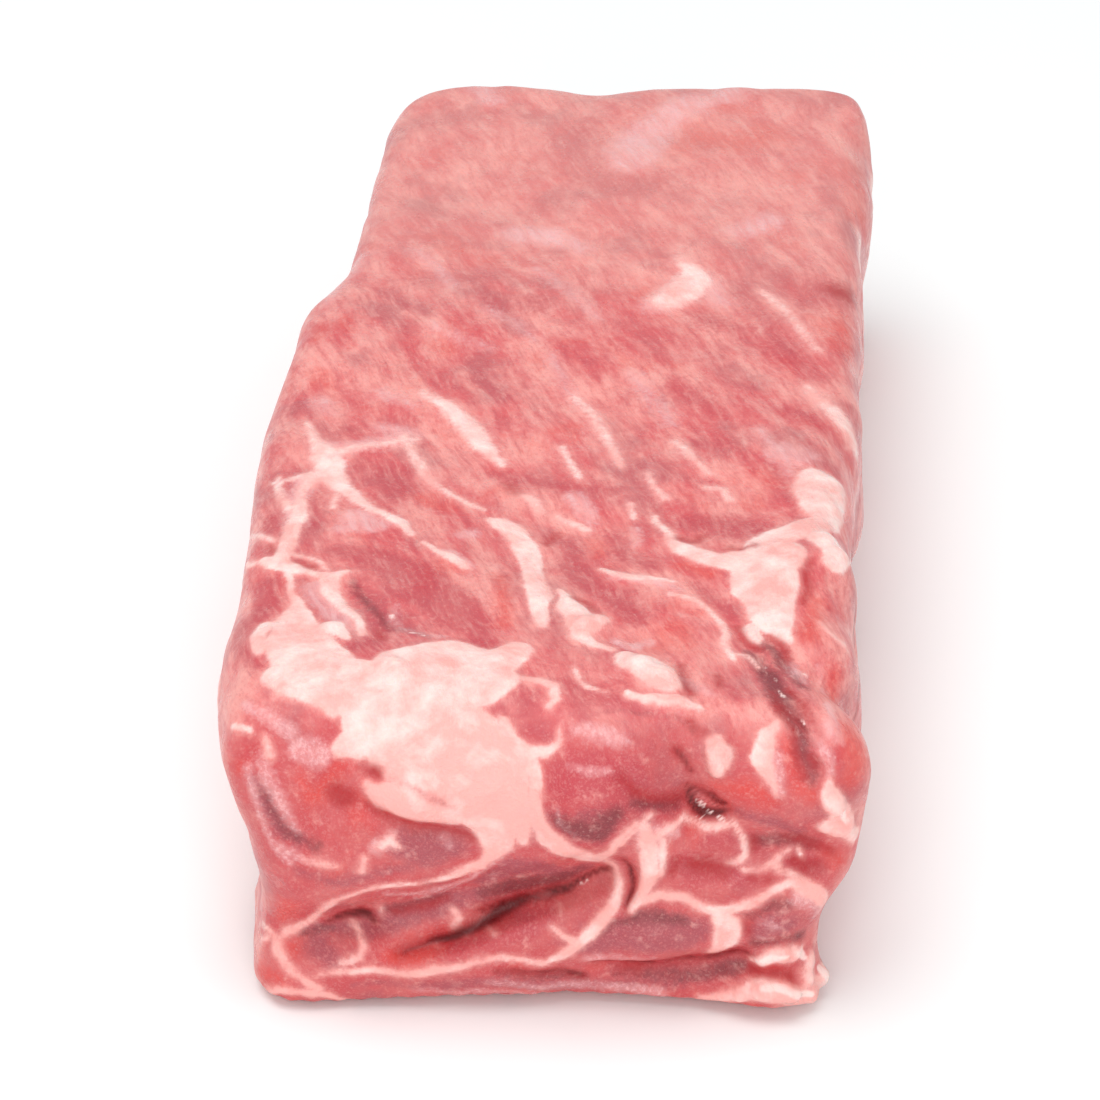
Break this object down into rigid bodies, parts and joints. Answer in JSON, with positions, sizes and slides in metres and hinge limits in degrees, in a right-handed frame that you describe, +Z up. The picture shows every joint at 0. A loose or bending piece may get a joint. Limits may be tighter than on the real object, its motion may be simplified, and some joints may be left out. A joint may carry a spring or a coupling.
{
  "type": "beef sirloin flap",
  "caption": "Raw trimmed slab of beef flap, long and flat on its underside, with rounded rims, cut ends of seamed muscle and marbled fat.",
  "frame": {"origin": "middle of the flat underside, under the centre of the slab's box", "axes": "+Z up, +Y along the slab from the near cut end to the far end, +X across it to the right as seen from the near end"},
  "size_m": [0.113, 0.266, 0.057],
  "materials": {
    "raw_meat": "moist raw muscle with pale fat"
  },
  "bodies": {
    "root": {"flap_meat": "raw_meat"}
  },
  "joints": []
}
